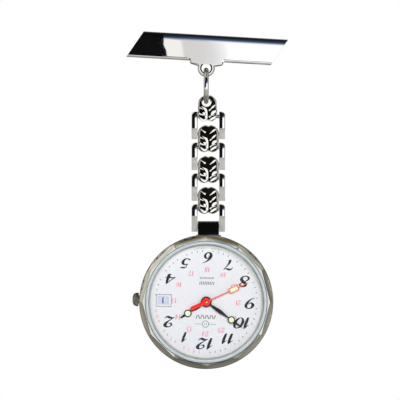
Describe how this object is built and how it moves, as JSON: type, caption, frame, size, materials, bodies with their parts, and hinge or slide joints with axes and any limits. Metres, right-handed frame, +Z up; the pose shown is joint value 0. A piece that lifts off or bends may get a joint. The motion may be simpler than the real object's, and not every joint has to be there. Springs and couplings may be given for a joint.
{
  "type": "fob watch",
  "caption": "Nurse's fob watch: slanted bar brooch with pin and roll-over catch, jump ring, bracelet-style link chain, and a round quartz watch hung with its dial upside down.",
  "frame": {"origin": "on the brooch pin's centre line, at the middle of the bar", "axes": "+Z up with the watch hanging down -Z, the front of the bar and dial face -Y, +Y points out of the case back"},
  "size_m": [0.0374, 0.0085, 0.0781],
  "materials": {
    "chromed_steel": "mirror-polished nickel-chrome plating",
    "link_steel": "polished upper part, brushed lower part",
    "knot_steel": "polished, dark in the grooves",
    "case_steel": "polished, faintly warm",
    "crystal_glass": "clear mineral glass with a polished bevel",
    "gasket_nylon": "translucent white",
    "gasket_rubber": "black rubber",
    "rehaut_metal": "satin ring",
    "dial_enamel": "white satin lacquer",
    "date_disc": "pale lavender print disc",
    "hand_black": "gloss black",
    "hand_red": "orange-red lacquer",
    "gear_brass": "fine machined",
    "arbor_steel": "machined steel",
    "plate_brass": "nickel-washed brass",
    "plastic_holder": "moulded, natural white",
    "board_green": "printed circuit board",
    "chip_black": "epoxy blob",
    "coil_copper": "enamelled copper wire",
    "soft_iron": "annealed magnetic steel",
    "quartz_tin": "drawn can",
    "cell_steel": "nickel-plated button cell",
    "white_gear": "moulded gear"
  },
  "bodies": {
    "brooch": {"brooch_bar": "chromed_steel", "pin_hinge_bracket": "chromed_steel", "pin_hinge_rivet": "chromed_steel", "catch_body": "chromed_steel"},
    "stem": {"pin_stem": "chromed_steel"},
    "catch_lock": {"catch_rotor": "chromed_steel"},
    "ring": {"jump_ring": "chromed_steel"},
    "watch": {"case_body": "case_steel", "bezel": "case_steel", "crystal": "crystal_glass", "crystal_gasket": "gasket_nylon", "dial_ring": "rehaut_metal", "case_back": "case_steel", "case_back_gasket": "gasket_rubber", "crown_tube": "case_steel", "dial": "dial_enamel", "main_plate": "plate_brass", "train_bridge": "plate_brass", "bridge_screws": "arbor_steel", "movement_holder": "plastic_holder", "circuit_board": "board_green", "quartz_can": "quartz_tin", "ic_chip": "chip_black", "coil_core": "soft_iron", "coil_winding": "coil_copper", "stator": "soft_iron", "battery": "cell_steel", "battery_strap": "arbor_steel"},
    "crown_slider": {"crown_gasket": "gasket_rubber"},
    "crown_knob": {"crown": "case_steel", "winding_stem": "arbor_steel", "sliding_pinion": "arbor_steel"},
    "seconds": {"second_hand": "hand_red", "seconds_wheel": "gear_brass"},
    "minutes": {"minute_hand": "hand_black", "cannon_pinion": "gear_brass"},
    "hours": {"hour_hand": "hand_black", "hour_wheel": "gear_brass"},
    "third": {"third_wheel": "gear_brass"},
    "intermediate": {"intermediate_wheel": "gear_brass"},
    "motor_rotor": {"rotor": "soft_iron"},
    "motion_work": {"minute_wheel": "gear_brass"},
    "date_drive": {"date_driving_wheel": "white_gear"},
    "date_disc": {"date_ring": "date_disc"},
    "knot_1": {"knot_link_1": "knot_steel"},
    "bars_1": {"side_bars_1": "link_steel", "link_pins_1": "arbor_steel"},
    "knot_2": {"knot_link_2": "knot_steel"},
    "bars_2": {"side_bars_2": "link_steel", "link_pins_2": "arbor_steel"},
    "knot_3": {"knot_link_3": "knot_steel"},
    "bars_3": {"side_bars_3": "link_steel", "link_pins_3": "arbor_steel"},
    "knot_4": {"knot_link_4": "knot_steel"},
    "bars_4": {"side_bars_4": "link_steel", "link_pins_4": "arbor_steel"}
  },
  "joints": [
    {"name": "pin_open", "type": "hinge", "parent": "brooch", "child": "stem", "pos_m": [-0.01248, 0, 0.00072], "axis": [0.0576, 0, 0.9983], "range_deg": [0, 60]},
    {"name": "catch_roll", "type": "hinge", "parent": "brooch", "child": "catch_lock", "pos_m": [0.01238, 0, -0.00071], "axis": [0.9983, 0, -0.0576], "range_deg": [0, 120]},
    {"name": "ring_swing", "type": "hinge", "parent": "brooch", "child": "ring", "pos_m": [-0.00026, -0.00235, -0.00614], "axis": [1, 0, 0], "range_deg": [-45, 45]},
    {"name": "chain_sway", "type": "hinge", "parent": "ring", "child": "knot_1", "pos_m": [-0.00026, -0.00235, -0.0123], "axis": [0, 1, 0], "range_deg": [-60, 60]},
    {"name": "bars_1_fold", "type": "hinge", "parent": "knot_1", "child": "bars_1", "pos_m": [-0.00026, -0.00235, -0.01578], "axis": [1, 0, 0], "range_deg": [-80, 80]},
    {"name": "knot_2_fold", "type": "hinge", "parent": "bars_1", "child": "knot_2", "pos_m": [-0.00026, -0.00235, -0.01982], "axis": [-1, 0, 0], "range_deg": [-80, 80]},
    {"name": "bars_2_fold", "type": "hinge", "parent": "knot_2", "child": "bars_2", "pos_m": [-0.00026, -0.00235, -0.02293], "axis": [1, 0, 0], "range_deg": [-80, 80]},
    {"name": "knot_3_fold", "type": "hinge", "parent": "bars_2", "child": "knot_3", "pos_m": [-0.00026, -0.00235, -0.02697], "axis": [-1, 0, 0], "range_deg": [-80, 80]},
    {"name": "bars_3_fold", "type": "hinge", "parent": "knot_3", "child": "bars_3", "pos_m": [-0.00026, -0.00235, -0.03008], "axis": [1, 0, 0], "range_deg": [-80, 80]},
    {"name": "knot_4_fold", "type": "hinge", "parent": "bars_3", "child": "knot_4", "pos_m": [-0.00026, -0.00235, -0.03412], "axis": [-1, 0, 0], "range_deg": [-80, 80]},
    {"name": "bars_4_fold", "type": "hinge", "parent": "knot_4", "child": "bars_4", "pos_m": [-0.00026, -0.00235, -0.03723], "axis": [1, 0, 0], "range_deg": [-80, 80]},
    {"name": "watch_swing", "type": "hinge", "parent": "bars_4", "child": "watch", "pos_m": [-0.00026, -0.00235, -0.04127], "axis": [-1, 0, 0], "range_deg": [-80, 80]},
    {"name": "crown_pull", "type": "slide", "parent": "watch", "child": "crown_slider", "axis": [-0.9995, 0, 0.0314], "range_m": [0, 0.0008]},
    {"name": "crown_turn", "type": "hinge", "parent": "crown_slider", "child": "crown_knob", "pos_m": [-0.01426, -0.0023, -0.05823], "axis": [-0.9995, 0, 0.0314], "continuous": true},
    {"name": "second_hand_turn", "type": "hinge", "parent": "watch", "child": "seconds", "pos_m": [-0.00026, -0.00235, -0.05867], "axis": [0, 1, 0], "continuous": true},
    {"name": "minute_hand_turn", "type": "hinge", "parent": "watch", "child": "minutes", "pos_m": [-0.00026, -0.00235, -0.05867], "axis": [0, 1, 0], "continuous": true},
    {"name": "hour_hand_turn", "type": "hinge", "parent": "watch", "child": "hours", "pos_m": [-0.00026, -0.00235, -0.05867], "axis": [0, 1, 0], "continuous": true},
    {"name": "third_wheel_turn", "type": "hinge", "parent": "watch", "child": "third", "pos_m": [0.00118, -0.00235, -0.06137], "axis": [0, 1, 0], "continuous": true},
    {"name": "intermediate_wheel_turn", "type": "hinge", "parent": "watch", "child": "intermediate", "pos_m": [0.00162, -0.00235, -0.05615], "axis": [0, 1, 0], "continuous": true},
    {"name": "rotor_turn", "type": "hinge", "parent": "watch", "child": "motor_rotor", "pos_m": [0.00242, -0.00235, -0.05414], "axis": [0, 1, 0], "continuous": true},
    {"name": "minute_wheel_turn", "type": "hinge", "parent": "watch", "child": "motion_work", "pos_m": [-0.00266, -0.00235, -0.05859], "axis": [0, 1, 0], "continuous": true},
    {"name": "date_driving_wheel_turn", "type": "hinge", "parent": "watch", "child": "date_drive", "pos_m": [0.00226, -0.00235, -0.05459], "axis": [0, 1, 0], "continuous": true},
    {"name": "date_ring_turn", "type": "hinge", "parent": "watch", "child": "date_disc", "pos_m": [-0.00026, -0.00235, -0.05867], "axis": [0, 1, 0], "continuous": true}
  ],
  "couplings": [
    {"joint": "minute_hand_turn", "follows": "second_hand_turn", "ratio": 0.016667},
    {"joint": "hour_hand_turn", "follows": "second_hand_turn", "ratio": 0.0013889},
    {"joint": "third_wheel_turn", "follows": "second_hand_turn", "ratio": -0.13333},
    {"joint": "intermediate_wheel_turn", "follows": "second_hand_turn", "ratio": -6},
    {"joint": "rotor_turn", "follows": "second_hand_turn", "ratio": 30},
    {"joint": "minute_wheel_turn", "follows": "second_hand_turn", "ratio": -0.0055556},
    {"joint": "date_driving_wheel_turn", "follows": "second_hand_turn", "ratio": -0.00069444},
    {"joint": "date_ring_turn", "follows": "second_hand_turn", "ratio": -0.000022401}
  ]
}
